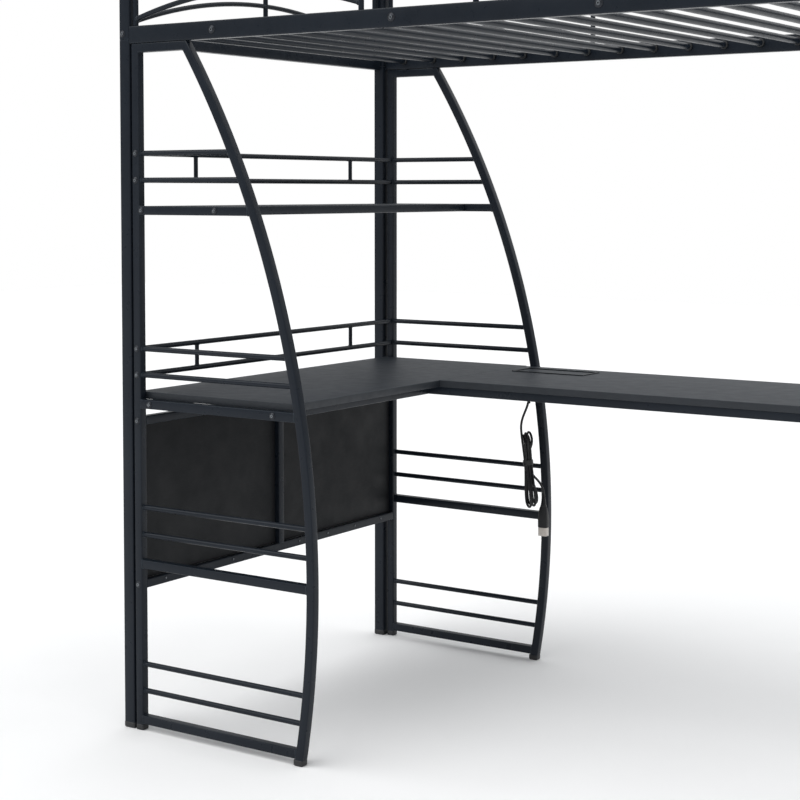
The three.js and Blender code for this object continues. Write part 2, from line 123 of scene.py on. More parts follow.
# ---- Materials ----
class Nodes:
    """A short way to write a shader's node tree."""

    def __init__(self, name):
        self.material = bpy.data.materials.new(name)
        self.material.use_nodes = True
        self.tree = self.material.node_tree
        self.shader = self.tree.nodes["Principled BSDF"]
        self.place = self.new("ShaderNodeTexCoord").outputs["Object"]

    def new(self, kind, **settings):
        node = self.tree.nodes.new(kind)
        for key, value in settings.items():
            setattr(node, key, value)
        return node

    def link(self, source, target):
        self.tree.links.new(source, target)

    def noise(self, scale, detail=3.0, rough=0.5, stretch=None):
        place = self.place
        if stretch:
            mapping = self.new("ShaderNodeMapping")
            mapping.inputs["Scale"].default_value = stretch
            self.link(place, mapping.inputs["Vector"])
            place = mapping.outputs["Vector"]
        node = self.new("ShaderNodeTexNoise")
        node.inputs["Scale"].default_value = scale
        node.inputs["Detail"].default_value = detail
        node.inputs["Roughness"].default_value = rough
        self.link(place, node.inputs["Vector"])
        return node.outputs["Fac"]

    def ramp(self, factor, stops):
        node = self.new("ShaderNodeValToRGB")
        band = node.color_ramp
        band.elements[0].position, band.elements[0].color = stops[0][0], (*stops[0][1], 1)
        band.elements[1].position, band.elements[1].color = stops[-1][0], (*stops[-1][1], 1)
        for position, color in stops[1:-1]:
            band.elements.new(position).color = (*color, 1)
        self.link(factor, node.inputs["Fac"])
        return node.outputs["Color"]

    def spread(self, factor, low, high, start=0.3, end=0.7):
        node = self.new("ShaderNodeMapRange")
        node.inputs["From Min"].default_value = start
        node.inputs["From Max"].default_value = end
        node.inputs["To Min"].default_value = low
        node.inputs["To Max"].default_value = high
        self.link(factor, node.inputs["Value"])
        return node.outputs["Result"]

    def mix(self, factor, first, second):
        node = self.new("ShaderNodeMix", data_type="RGBA")
        self.link(factor, node.inputs["Factor"])
        self.link(first, node.inputs["A"])
        node.inputs["B"].default_value = (*second, 1)
        return node.outputs["Result"]

    def edges(self, radius, start, end):
        """Near 1 along outer edges. Used for edge wear where handling rubs the finish, and for the painted
        highlights on the bolt heads' rims and the power unit's lip.
        """
        bevel = self.new("ShaderNodeBevel", samples=4)
        bevel.inputs["Radius"].default_value = radius
        flat = self.new("ShaderNodeNewGeometry").outputs["Normal"]
        dot = self.new("ShaderNodeVectorMath", operation="DOT_PRODUCT")
        self.link(bevel.outputs["Normal"], dot.inputs[0])
        self.link(flat, dot.inputs[1])
        return self.spread(dot.outputs["Value"], 1.0, 0.0, start, end)

    def bump(self, height, strength, distance, under=None):
        node = self.new("ShaderNodeBump")
        node.inputs["Strength"].default_value = strength
        node.inputs["Distance"].default_value = distance
        self.link(height, node.inputs["Height"])
        if under is not None:
            self.link(under, node.inputs["Normal"])
        return node.outputs["Normal"]

    def finish(self, color, rough, normal, **sockets):
        self.link(color, self.shader.inputs["Base Color"])
        self.link(rough, self.shader.inputs["Roughness"])
        self.link(normal, self.shader.inputs["Normal"])
        for key, value in sockets.items():
            self.shader.inputs[key.replace("_", " ")].default_value = value
        return self.material


def powder_coat():
    """Black satin powder coat with a faint blue cast: fine orange peel, cloudy tone, rubbed edges."""
    n = Nodes("powder_coat")
    cloud = n.noise(7.0, 4)
    tone = n.ramp(cloud, [(0.3, (0.0072, 0.0104, 0.0158)), (0.7, (0.0100, 0.0140, 0.0205))])
    speck = n.noise(2600.0, 1)
    tone = n.mix(n.spread(speck, 0.0, 0.30, 0.62, 0.75), tone, (0.034, 0.042, 0.052))
    rubbed = n.mix(n.edges(0.0012, 0.93, 0.995), tone, (0.042, 0.052, 0.064))
    rough = n.spread(n.noise(45.0, 3), 0.26, 0.36)
    peel = n.bump(n.noise(900.0, 2), 0.18, 0.0004)
    normal = n.bump(n.noise(12.0, 2), 0.06, 0.002, peel)
    return n.finish(rubbed, rough, normal, Specular_IOR_Level=0.18)


def laminate():
    """Dark blue-grey board, faintly streaked along its length, with a satin sheen."""
    n = Nodes("desk_laminate")
    cloud = n.noise(3.0, 5, 0.6)
    tone = n.ramp(cloud, [(0.3, (0.0185, 0.0232, 0.0300)), (0.7, (0.0208, 0.0258, 0.0330))])
    streak = n.noise(60.0, 4, 0.6, stretch=(0.12, 3.0, 1.0))
    tone = n.mix(n.spread(streak, 0.0, 0.16, 0.45, 0.8), tone, (0.036, 0.043, 0.052))
    tone = n.mix(n.edges(0.0010, 0.93, 0.995), tone, (0.075, 0.083, 0.095))
    rough = n.spread(n.noise(30.0, 4), 0.42, 0.48)
    normal = n.bump(n.noise(1500.0, 2), 0.10, 0.0003)
    return n.finish(tone, rough, normal, Specular_IOR_Level=0.22)


def board_edge():
    """Edge banding, a shade darker than the top."""
    n = Nodes("edge_band")
    tone = n.ramp(n.noise(20.0, 4), [(0.3, (0.0110, 0.0145, 0.0195)), (0.7, (0.0150, 0.0190, 0.0250))])
    tone = n.mix(n.edges(0.0008, 0.93, 0.995), tone, (0.048, 0.054, 0.063))
    rough = n.spread(n.noise(60.0, 3), 0.42, 0.55)
    normal = n.bump(n.noise(700.0, 2, stretch=(0.1, 0.1, 2.0)), 0.12, 0.0003)
    return n.finish(tone, rough, normal, IOR=1.45)


def panel_sheet():
    """Near-black panel with a fine upright grain."""
    n = Nodes("modesty_sheet")
    tone = n.ramp(n.noise(5.0, 4), [(0.3, (0.0050, 0.0058, 0.0072)), (0.7, (0.0072, 0.0082, 0.0098))])
    grain = n.noise(240.0, 3, 0.6, stretch=(1.0, 0.25, 1.0))
    tone = n.mix(n.spread(grain, 0.0, 0.25, 0.5, 0.8), tone, (0.018, 0.020, 0.023))
    rough = n.spread(n.noise(20.0, 3), 0.50, 0.64)
    normal = n.bump(grain, 0.10, 0.0004)
    return n.finish(tone, rough, normal, Specular_IOR_Level=0.24)


def moulded_plastic():
    """Black moulding with a fine spark texture."""
    n = Nodes("moulded_plastic")
    tone = n.ramp(n.noise(60.0, 3), [(0.3, (0.0125, 0.0130, 0.0142)), (0.7, (0.0180, 0.0186, 0.0200))])
    tone = n.mix(n.edges(0.0006, 0.93, 0.995), tone, (0.045, 0.047, 0.050))
    rough = n.spread(n.noise(220.0, 2), 0.38, 0.52)
    normal = n.bump(n.noise(2200.0, 2), 0.22, 0.0002)
    return n.finish(tone, rough, normal, IOR=1.46)


def sheath():
    """Flexible black mains lead."""
    n = Nodes("lead_sheath")
    tone = n.ramp(n.noise(90.0, 3), [(0.3, (0.0045, 0.0050, 0.0062)), (0.7, (0.0080, 0.0086, 0.0102))])
    rough = n.spread(n.noise(300.0, 2), 0.34, 0.48)
    normal = n.bump(n.noise(1200.0, 2), 0.15, 0.0002)
    return n.finish(tone, rough, normal, Specular_IOR_Level=0.36)


def bolt_zinc():
    """Dark plated fastener with a painted highlight: the rims of its head are painted bright."""
    n = Nodes("bolt_plate")
    tone = n.ramp(n.noise(500.0, 3), [(0.3, (0.016, 0.018, 0.023)), (0.7, (0.026, 0.029, 0.036))])
    # painted highlight: the head's rims are painted bright
    tone = n.mix(n.edges(0.0006, 0.88, 0.995), tone, (0.24, 0.26, 0.28))
    rough = n.spread(n.noise(700.0, 2), 0.24, 0.38)
    normal = n.bump(n.noise(1800.0, 2), 0.12, 0.0001)
    return n.finish(tone, rough, normal, Metallic=0.6)


def satin_rim():
    """The dark satin lip round the power unit, with a painted highlight: its arris is painted lighter."""
    n = Nodes("satin_rim")
    tone = n.ramp(n.noise(80.0, 3), [(0.3, (0.0040, 0.0048, 0.0060)), (0.7, (0.0062, 0.0072, 0.0088))])
    # painted highlight: the lip's arris is painted lighter
    tone = n.mix(n.edges(0.0006, 0.90, 0.995), tone, (0.075, 0.088, 0.105))
    rough = n.spread(n.noise(240.0, 2), 0.30, 0.42)
    normal = n.bump(n.noise(1600.0, 2), 0.12, 0.0002)
    return n.finish(tone, rough, normal, Specular_IOR_Level=0.30)


def pale_guard():
    """The thin pale sleeve that a new plug's prongs are shipped in."""
    n = Nodes("prong_guard")
    tone = n.ramp(n.noise(120.0, 3), [(0.3, (0.66, 0.60, 0.55)), (0.7, (0.76, 0.71, 0.66))])
    rough = n.spread(n.noise(260.0, 2), 0.28, 0.42)
    normal = n.bump(n.noise(900.0, 2), 0.10, 0.0002)
    return n.finish(tone, rough, normal, Transmission_Weight=0.25)


def prong_metal():
    """Bare brass of the plug's prongs."""
    n = Nodes("prong_metal")
    tone = n.ramp(n.noise(300.0, 3), [(0.3, (0.55, 0.50, 0.40)), (0.7, (0.70, 0.66, 0.56))])
    rough = n.spread(n.noise(500.0, 2), 0.20, 0.36)
    normal = n.bump(n.noise(1500.0, 2), 0.10, 0.0001)
    return n.finish(tone, rough, normal, Metallic=1.0)


STEEL = powder_coat()
LAMINATE = laminate()
EDGE = board_edge()
SHEET = panel_sheet()
PLASTIC = moulded_plastic()
SHEATH = sheath()
BOLT = bolt_zinc()
PRONG = prong_metal()
GUARD = pale_guard()
RIM = satin_rim()


# ---- Shapes: each returns (points, faces) of one closed shell ----
def ring_of(section, to_world):
    return [to_world(u, v) for u, v in section]


def bands(rings, closed=False):
    """Joins rings of equal length by quads, and the last to the first if closed."""
    count = len(rings[0])
    points = [p for ring in rings for p in ring]
    faces = []
    for r in range(len(rings) if closed else len(rings) - 1):
        a, b = r * count, (r + 1) % len(rings) * count
        faces += [(a + i, a + (i + 1) % count, b + (i + 1) % count, b + i) for i in range(count)]
    return points, faces


def loft(rings):
    """Skins rings of equal length, and closes both ends."""
    points, faces = bands(rings)
    count = len(rings[0])
    start_cap = tuple(reversed(range(count)))
    end_cap = tuple(range(len(points) - count, len(points)))
    return points, [start_cap, *faces, end_cap]


def rounded(width, height, radius, steps=4):
    """A rectangle's outline with rounded corners, about the origin."""
    x, y = width / 2 - radius, height / 2 - radius
    corners = [(x, y, 0), (-x, y, 1), (-x, -y, 2), (x, -y, 3)]
    section = []
    for cx, cy, quarter in corners:
        for i in range(steps + 1):
            angle = (quarter + i / steps) * math.pi / 2
            section.append((cx + radius * math.cos(angle), cy + radius * math.sin(angle)))
    return section


def circle(radius, sides=20):
    angles = [2 * math.pi * i / sides for i in range(sides)]
    return [(radius * math.cos(a), radius * math.sin(a)) for a in angles]


def axes_for(axis):
    """The named axis and the two after it."""
    index = "xyz".index(axis)
    basis = [RIGHT, BACK, UP]
    return basis[index], basis[(index + 1) % 3], basis[(index + 2) % 3]


def axes_about(way):
    """A direction made 1 long, and two across it."""
    along = way.normalized()
    right = along.orthogonal().normalized()
    return along, right, along.cross(right)


def prism(axis, low, high, radius=EDGE_R, soft=SOFT):
    """A rounded square tube or board that fills the box, with softened ends."""
    along, right, up = axes_for(axis)
    size = high - low
    middle = (low + high) / 2
    width, height, half = size.dot(right), size.dot(up), size.dot(along) / 2
    radius = min(radius, width / 2.01, height / 2.01)
    full = rounded(width, height, radius)
    small = rounded(width - 2 * soft, height - 2 * soft, max(radius - soft, 1e-4))
    stations = [(-half, small), (-half + soft, full), (half - soft, full), (half, small)]
    return loft([
        ring_of(section, lambda u, v, s=station: middle + along * s + right * u + up * v)
        for station, section in stations
    ])


def rod(start, end, radius, sides=20, soft=0.0):
    """A round bar, with chamfered ends if soft is given."""
    along, right, up = axes_about(end - start)
    stations = [(start, radius), (end, radius)]
    if soft:
        stations = [
            (start, radius - soft), (start + along * soft, radius),
            (end - along * soft, radius), (end, radius - soft),
        ]
    return loft([ring_of(circle(r, sides), lambda u, v, c=c: c + right * u + up * v) for c, r in stations])


def mitred(path, section, side):
    """Sweeps a section along a flat path, mitring its corners. side is the path plane's normal."""
    rings = []
    for i, point in enumerate(path):
        before = (point - path[i - 1]).normalized() if i else None
        after = (path[i + 1] - point).normalized() if i < len(path) - 1 else None
        way = (before or after) if before is None or after is None else (before + after).normalized()
        stretch = 1 / max(way.dot(before or after), 0.2)
        across = side.cross(way) * stretch
        rings.append(ring_of(section, lambda u, v: point + across * u + side * v))
    return loft(rings)


def sweep(path, radius, sides=16):
    """A round bar along a path in one plane."""
    side = (path[len(path) // 2] - path[0]).cross(path[-1] - path[0]).normalized()
    return mitred(path, circle(radius, sides), side)


def turned(centre, way, profile, sides=24):
    """A shape turned about the line through centre. profile is (distance along, radius)."""
    along, right, up = axes_about(way)
    return loft([
        ring_of(circle(max(r, 1e-5), sides), lambda u, v, s=s: centre + along * s + right * u + up * v)
        for s, r in profile
    ])


def bead_loop(spine, along, across):
    """A closed bead round a bar. spine holds a place, its outward direction and the bead's half thickness."""
    points, faces = [], []
    for place, out, lump in spine:
        for j in range(across):
            b = 2 * math.pi * j / across
            points.append(place + out * lump * math.cos(b) + along * lump * math.sin(b))
    count = len(spine)
    for i in range(count):
        for j in range(across):
            a, b = i * across, (i + 1) % count * across
            k = (j + 1) % across
            faces.append((a + j, b + j, b + k, a + k))
    return points, faces


def bead(centre, way, radius, thick=0.0012):
    """A weld bead round a round bar, a little uneven as a hand weld is."""
    along, right, up = axes_about(way)
    around = 28
    phase = random.random() * 10
    spine = []
    for i in range(around):
        a = 2 * math.pi * i / around
        out = right * math.cos(a) + up * math.sin(a)
        lump = thick * (1 + 0.22 * math.sin(9 * a + phase) + 0.10 * math.sin(17 * a))
        spine.append((centre + out * radius, out, lump))
    return bead_loop(spine, along, 6)


def square_bead(centre, axis, width, height, thick=0.0013):
    """A weld bead round a square bar that runs along an axis."""
    along, right, up = axes_for(axis)
    path = [centre + right * u + up * v for u, v in rounded(width, height, 0.003, 3)]
    spine = []
    for i, point in enumerate(path):
        spine.append((point, (point - centre).normalized(), thick * (1 + 0.2 * math.sin(2.3 * i))))
    return bead_loop(spine, along, 5)


def welded_bar(axis, low, high, width, height, bead_in=TUCK):
    """A square bar that fills the box, with a weld bead of the given size near each end."""
    along = axes_for(axis)[0]
    middle = (low + high) / 2
    reach = along * ((high - low).dot(along) / 2 - bead_in)
    return [
        prism(axis, low, high, EDGE_R, 0.0),
        square_bead(middle - reach, axis, width, height),
        square_bead(middle + reach, axis, width, height),
    ]


def button_bolt(place, way, radius, tall):
    """A domed bolt head with a hexagon socket, standing on a surface that faces way."""
    out, right, up = axes_about(way)
    sides, dome_steps, dome_turn, root = 24, 6, math.pi / 2 * 0.86, 0.001
    socket, deep = radius * 0.40, tall * 0.65
    levels = [(-root, circle(radius, sides))]
    for k in range(dome_steps + 1):
        a = k / dome_steps * dome_turn
        levels.append((tall * math.sin(a) / math.sin(dome_turn), circle(radius * math.cos(a), sides)))
    hexagon = []
    for i in range(sides):
        a = 2 * math.pi * i / sides
        r = socket / math.cos((a % (math.pi / 3)) - math.pi / 6)
        hexagon.append((r * math.cos(a), r * math.sin(a)))
    levels += [(tall, hexagon), (tall - deep, hexagon)]
    return loft([
        ring_of(section, lambda u, v, h=height: place + out * h + right * u + up * v)
        for height, section in levels
    ])


# ---- Pieces ----
def piece(name, shells, material, body=BODY, replaces=(), angle=35):
    """Makes one object of closed shells, smooth except along its sharp edges."""
    points, faces = [], []
    for shell_points, shell_faces in shells:
        start = len(points)
        points += shell_points
        faces += [tuple(i + start for i in face) for face in shell_faces]
    mesh = bpy.data.meshes.new(name)
    mesh.from_pydata(points, [], faces)
    work = bmesh.new()
    work.from_mesh(mesh)
    bmesh.ops.recalc_face_normals(work, faces=work.faces)
    work.to_mesh(mesh)
    work.free()
    mesh.polygons.foreach_set("use_smooth", [True] * len(mesh.polygons))
    mesh.set_sharp_from_angle(angle=math.radians(angle))
    mesh.materials.append(material)
    made = bpy.data.objects.new(name, mesh)
    bpy.context.scene.collection.objects.link(made)
    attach(made, body)
    if replaces:
        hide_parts(*replaces)
    return made


def steel_piece(name, shells, *nodes):
    return piece(name, shells, STEEL, replaces=nodes)


def grown(low, high, by):
    """A box's corners, moved out sideways."""
    step = Vector((by, by, 0))
    return low - step, high + step


def span(low, high, x=None, y=None, z=None):
    """A box's corners with some of its sides given anew, each as a pair."""
    new_low, new_high = low.copy(), high.copy()
    for index, pair in enumerate((x, y, z)):
        if pair:
            new_low[index], new_high[index] = pair
    return new_low, new_high


# ---- Posts, rails, slats ----
CAP_TALL = 0.014
CAP_OVER = 0.0007  # a foot cap stands this far outside its tube


def foot_cap(low, high, name):
    """A rounded plastic cap over a tube's foot."""
    cap_low, cap_high = span(*grown(low, high, CAP_OVER), z=(0.0, CAP_TALL))
    piece(name, [prism("z", cap_low, cap_high, 0.004, 0.0022)], PLASTIC)


def make_posts():
    """Lower posts with foot caps, and upper posts with a flush cap in their open tops."""
    post_r = 0.0032
    cap_tall = 0.0034
    for end in ("head", "foot"):
        for side in ("front", "back"):
            tag = f"{end}_{side}"
            low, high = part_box(f"post_lower_{tag}")
            tube = prism("z", low + UP * FOOT_UP, high, post_r, END_SOFT)
            steel_piece(f"lower_post_{tag}", [tube], f"post_lower_{tag}")
            foot_cap(low, high, f"foot_cap_{tag}")
            low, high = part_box(f"post_upper_{tag}")
            cap_z = high.z - cap_tall
            tube = prism("z", *span(low, high, z=(low.z, cap_z)), post_r, END_SOFT)
            steel_piece(f"upper_post_{tag}", [tube], f"post_upper_{tag}")
            cap = prism("z", *span(low, high, z=(cap_z - TUCK, high.z)), 0.004, 0.0016)
            piece(f"top_cap_{tag}", [cap], PLASTIC)


def make_rails():
    for node in ("side_rail_front", "side_rail_back", "end_rail_head", "end_rail_foot"):
        axis = "x" if node.startswith("side") else "y"
        steel_piece(f"{node}_tube", [prism(axis, *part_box(node), 0.0028, END_SOFT)], node)


def make_slats():
    """Round slat tubes, each with a plastic sleeve where it meets a rail."""
    count, slat_soft = 20, 0.0006
    sleeve_long, sleeve_r, round_off = 0.009, 0.0102, 0.0005
    sleeves = []
    for number in range(1, count + 1):
        node = f"slat_{number:02d}"
        low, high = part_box(node)
        middle = (low + high) / 2
        radius = (high.x - low.x) / 2
        start = Vector((middle.x, low.y, middle.z))
        end = Vector((middle.x, high.y, middle.z))
        steel_piece(f"{node}_tube", [rod(start, end, radius, 28, slat_soft)], node)
        profile = [
            (0, sleeve_r - 0.001), (END_SOFT, sleeve_r), (sleeve_long - 0.002, sleeve_r),
            (sleeve_long, radius + round_off), (sleeve_long, radius - round_off),
        ]
        sleeves += [turned(start, BACK, profile), turned(end, FRONT, profile)]
    piece("slat_sleeves", sleeves, PLASTIC)


# ---- Side frames ----
def arc_x(z, radius):
    """Where the side frames' arc of a given radius stands, at a height."""
    centre_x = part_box("side_frame_front")[1].x - ARC_R
    return centre_x + math.sqrt(radius ** 2 - (z - ARC_CENTRE_Z) ** 2)


def side_frame_run(low, high):
    """Up the upright, along the short top and down the arc, in the middle of the tube."""
    y = (low.y + high.y) / 2
    half = TUBE / 2
    top, arc_end = high.z - half, 0.0026
    middle_r = ARC_R - half
    upright = low.x + half
    steps = 56
    first = math.asin((top - ARC_CENTRE_Z) / middle_r)
    last = math.asin((arc_end - ARC_CENTRE_Z) / middle_r)
    arc_centre = Vector((high.x - ARC_R, y, ARC_CENTRE_Z))
    path = [Vector((upright, y, FOOT_UP)), Vector((upright, y, top))]
    for i in range(steps + 1):
        angle = first + (last - first) * i / steps
        path.append(arc_centre + (RIGHT * math.cos(angle) + UP * math.sin(angle)) * middle_r)
    return path


def make_side_frame(node):
    """An upright, a short mitred top and a long arc in one tube run, with welded bars."""
    low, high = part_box(node)
    y = (low.y + high.y) / 2
    shells = [mitred(side_frame_run(low, high), rounded(TUBE, TUBE, EDGE_R), BACK)]
    bead_wide = BAR + 0.0002
    for z in THICK_BARS + THIN_BARS:
        # The arc leans more the further a bar is from its centre, so the bar reaches further into it.
        lean = 0.004 * abs(z - ARC_CENTRE_Z) / (ARC_R - TUBE / 2)
        start = Vector((low.x + TUBE - TUCK, y, z))
        end = Vector((arc_x(z, ARC_R - TUBE) + 0.0012 + lean, y, z))
        if z in THICK_BARS:
            corner = Vector((0, BAR / 2, TUBE / 2))
            rounding = 0.0010 if z == DESK_BAR_Z else BAR_EDGE_R
            shells.append(prism("x", start - corner, end + corner, rounding, 0.0))
            shells.append(square_bead(start + RIGHT * 0.0007, "x", bead_wide, bead_wide))
            shells.append(square_bead(end - RIGHT * (0.0014 + lean), "x", bead_wide, bead_wide))
        else:
            shells.append(rod(start, end, THIN_R))
            shells.append(bead(start + RIGHT * 0.0008, RIGHT, THIN_R))
            shells.append(bead(end - RIGHT * (0.0016 + lean), RIGHT, THIN_R))
    steel_piece(f"{node}_tubes", shells, node)
    foot_cap(*span(low, high, x=(low.x, low.x + TUBE)), f"{node}_cap_post_side")
    arc_foot, spread = arc_x(0.0, ARC_R), 0.0016
    foot_cap(*span(low, high, x=(arc_foot - TUBE - spread, arc_foot + spread)), f"{node}_cap_arc_side")


# ---- Straight tubes that run between the side frames ----
def make_cross_tubes():
    for node in ("shelf_cross_head", "shelf_cross_room", "desk_cross_head", "desk_cross_room"):
        low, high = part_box(node)
        steel_piece(f"{node}_tube", [prism("y", low, high)], node)


def make_bar_guards():
    """Two bars across the head end with two short ties."""
    for node, heights in (("bar_guard_shelf", SHELF_GUARD), ("bar_guard_desk", DESK_GUARD)):
        low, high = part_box(node)
        x = (low.x + high.x) / 2
        shells = []
        for z in heights:
            shells.append(rod(Vector((x, low.y, z)), Vector((x, high.y, z)), THIN_R, soft=0.0004))
        for share in (0.2, 0.8):
            y = LOW.y + WIDTH * share
            foot = Vector((x, y, heights[0] + THIN_R))
            head = Vector((x, y, heights[1] - THIN_R))
            shells.append(rod(foot - UP * TUCK, head + UP * TUCK, THIN_R - 0.001, 18))
            shells.append(bead(foot, UP, THIN_R - 0.0012, 0.0011))
            shells.append(bead(head, UP, THIN_R - 0.0012, 0.0011))
        steel_piece(f"{node}_rods", shells, node)


def make_modesty():
    """Two bars and an upright under the desk, with a panel on each side of the upright."""
    low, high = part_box("modesty_frame")
    middle = (low.y + high.y) / 2
    half, inset = TUBE / 2, 0.0003
    upright = span(
        low, high, (low.x + inset, high.x - inset), (middle - half, middle + half),
        (low.z + TUBE - SINK, high.z - TUBE + SINK),
    )
    shells = [
        prism("y", *span(low, high, z=(low.z, low.z + TUBE))),
        prism("y", *span(low, high, z=(high.z - TUBE, high.z))),
        *welded_bar("z", *upright, TUBE - 0.0004, TUBE + 0.0002, SINK),
    ]
    steel_piece("modesty_frame_tubes", shells, "modesty_frame")
    bar_face, bar_z = high.x, low.z + 0.6 * TUBE
    screws = []
    screws_per_panel = 4
    for node in ("modesty_panel_front", "modesty_panel_back"):
        low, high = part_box(node)
        sheet = prism("y", low, high, 0.0008, 0.0008)
        piece(f"{node}_sheet", [sheet], SHEET, replaces=(node,))
        for i in range(screws_per_panel):
            y = low.y + (high.y - low.y) * (i + 0.5) / screws_per_panel
            screws.append(button_bolt(Vector((bar_face, y, bar_z)), RIGHT, *PANEL_SCREW))
    piece("modesty_screws", screws, BOLT)


# ---- Boards ----
def rectangle(low, high, z, inset=0.0):
    """A box's outline at a height, drawn in all round."""
    return [
        Vector((low.x + inset, low.y + inset, z)), Vector((high.x - inset, low.y + inset, z)),
        Vector((high.x - inset, high.y - inset, z)), Vector((low.x + inset, high.y - inset, z)),
    ]


def board_rings(low, high):
    """A board's outline from its top face round to its underside, with rounded arrises."""
    r, steps = 0.0012, 4
    turns = [i / steps * math.pi / 2 for i in range(steps + 1)]
    top = [rectangle(low, high, high.z - r + r * math.cos(a), r - r * math.sin(a)) for a in turns]
    under = [rectangle(low, high, low.z + r - r * math.sin(a), r - r * math.cos(a)) for a in turns]
    return top + under


def band_edges(board):
    """Gives a board's upright faces the edge banding."""
    board.data.materials.append(EDGE)
    for face in board.data.polygons:
        if abs(face.normal.z) < 0.5:
            face.material_index = 1


def make_boards():
    fit = 0.0003  # the gap round the power unit
    for node in ("desk_board_short", "shelf_board", "desk_board_long"):
        low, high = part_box(node)
        if node != "shelf_board":
            low = low - UP * SEAT
        rings = board_rings(low, high)
        if node == "desk_board_long":
            well_low, well_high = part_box("power_box")
            rings.append(rectangle(well_low, well_high, low.z, -fit))
            rings.append(rectangle(well_low, well_high, high.z, -fit))
            shell = bands(rings, closed=True)
        else:
            shell = loft(rings)
        band_edges(piece(f"{node}_top", [shell], LAMINATE, replaces=(node,)))


# ---- Desk frame, end leg, ladder ----
def make_desk_frame():
    """The long desk's two rails with three cross bars."""
    low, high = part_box("desk_frame")
    near_y, far_y = (low.y, low.y + TUBE), (high.y - TUBE, high.y)
    shells = [prism("x", *span(low, high, y=y)) for y in (near_y, far_y)]
    inset = 0.0004
    inside = (near_y[1] - SINK, far_y[0] + SINK)
    for x in (LOW.x + 0.480, LOW.x + 1.160, high.x - TUBE + 0.0003):
        bar = span(low, high, (x, x + BAR), inside, (low.z + inset, high.z - inset))
        shells += welded_bar("y", *bar, 0.0192, BAR)
    steel_piece("desk_frame_tubes", shells, "desk_frame")


def make_desk_end_leg():
    """Two legs with two cross bars, under the foot end of the long desk."""
    low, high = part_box("desk_end_leg")
    near_y, far_y = (low.y, low.y + TUBE), (high.y - TUBE, high.y)
    shells = []
    for number, y in enumerate((near_y, far_y)):
        shells.append(prism("z", *span(low, high, y=y, z=(FOOT_UP, high.z))))
        foot_cap(*span(low, high, y=y), f"desk_leg_cap_{number}")
    inset, low_bar = 0.0003, 0.060
    inside = (near_y[1] - SINK, far_y[0] + SINK)
    for z in (low_bar, high.z - TUBE):
        bar = span(low, high, (low.x + inset, high.x - inset), inside, (z + inset, z + TUBE - inset))
        shells += welded_bar("y", *bar, BAR, BAR)
    steel_piece("desk_end_leg_tubes", shells, "desk_end_leg")


def make_ladder():
    """Two stiles on foot caps, with flat rungs between them."""
    low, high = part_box("ladder")
    near_x, far_x = (low.x, low.x + TUBE), (high.x - TUBE, high.x)
    rungs, pitch, rung_half, inset = 4, 0.310, 0.0125, 0.0003
    shells = []
    for number, x in enumerate((near_x, far_x)):
        shells.append(prism("z", *span(low, high, x=x, z=(FOOT_UP, high.z))))
        foot_cap(*span(low, high, x=x), f"ladder_cap_{number}")
    inside = (near_x[1] - SINK, far_x[0] + SINK)
    for i in range(1, rungs + 1):
        z = pitch * i
        rung = span(low, high, inside, (low.y + inset, high.y - inset), (z - rung_half, z + rung_half))
        shells += welded_bar("x", *rung, BAR, 2 * rung_half + 0.0002)
    steel_piece("ladder_tubes", shells, "ladder")


# ---- Guards ----
def arch_path(start, end, rise, steps=30):
    """A flat parabola between two points, rise high at its middle."""
    middle = (start + end) / 2 + UP * 2 * rise
    path = []
    for i in range(steps + 1):
        t = i / steps
        path.append(start * (1 - t) ** 2 + middle * 2 * t * (1 - t) + end * t ** 2)
    return path


def make_guard(node, axis, uprights, arches, rise):
    """A top tube on uprights, with arched bars at its foot."""
    low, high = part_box(node)
    if axis == "x":
        along, base = RIGHT, Vector((LOW.x, (low.y + high.y) / 2, 0))
    else:
        along, base = BACK, Vector(((low.x + high.x) / 2, LOW.y, 0))
    under = high.z - TUBE
    shells = [prism(axis, *span(low, high, z=(under, high.z)), EDGE_R, END_SOFT)]
    for u in uprights:
        place = base + along * u
        shells.append(rod(place + UP * low.z, place + UP * (under + TUCK), BALUSTER_R, soft=0.0004))
        shells.append(bead(place + UP * under, UP, BALUSTER_R - 0.0002))
    bead_in = 0.0072  # far enough along an arch to show outside the upright
    for a, b in arches:
        path = arch_path(base + along * a + UP * ARCH_FOOT, base + along * b + UP * ARCH_FOOT, rise)
        shells.append(sweep(path, BALUSTER_R - 0.0003))
        for end, inner in ((path[0], path[1]), (path[-1], path[-2])):
            slope = (inner - end).normalized()
            shells.append(bead(end + slope * bead_in, slope, BALUSTER_R - 0.0005, 0.0013))
    steel_piece(f"{node}_rods", shells, node)


def make_guards():
    end, baluster, front_end = 0.042, 0.657, 1.545
    side_rise, end_rise = 0.046, 0.075
    first = (end, baluster)
    second = (end + front_end - baluster, front_end)
    make_guard("guard_front", "x", [*first, *second], [first, second], side_rise)
    second = (LENGTH - baluster, LENGTH - end)
    make_guard("guard_back", "x", [*first, *second], [first, second], side_rise)
    across = WIDTH - end
    for node in ("guard_head", "guard_foot"):
        make_guard(node, "y", [end, WIDTH / 2, across], [(end, across)], end_rise)


# ---- Bolts ----
RAIL_BOLT = (0.0092, 0.0036)  # radius and height of the head
POST_BOLT = (0.0078, 0.0032)
FRAME_BOLT = (0.0077, 0.0030)
PANEL_SCREW = (0.0036, 0.0016)


def front_and_back(x, z, head):
    return [button_bolt(at(x, 0, z), FRONT, *head), button_bolt(at(x, WIDTH, z), BACK, *head)]


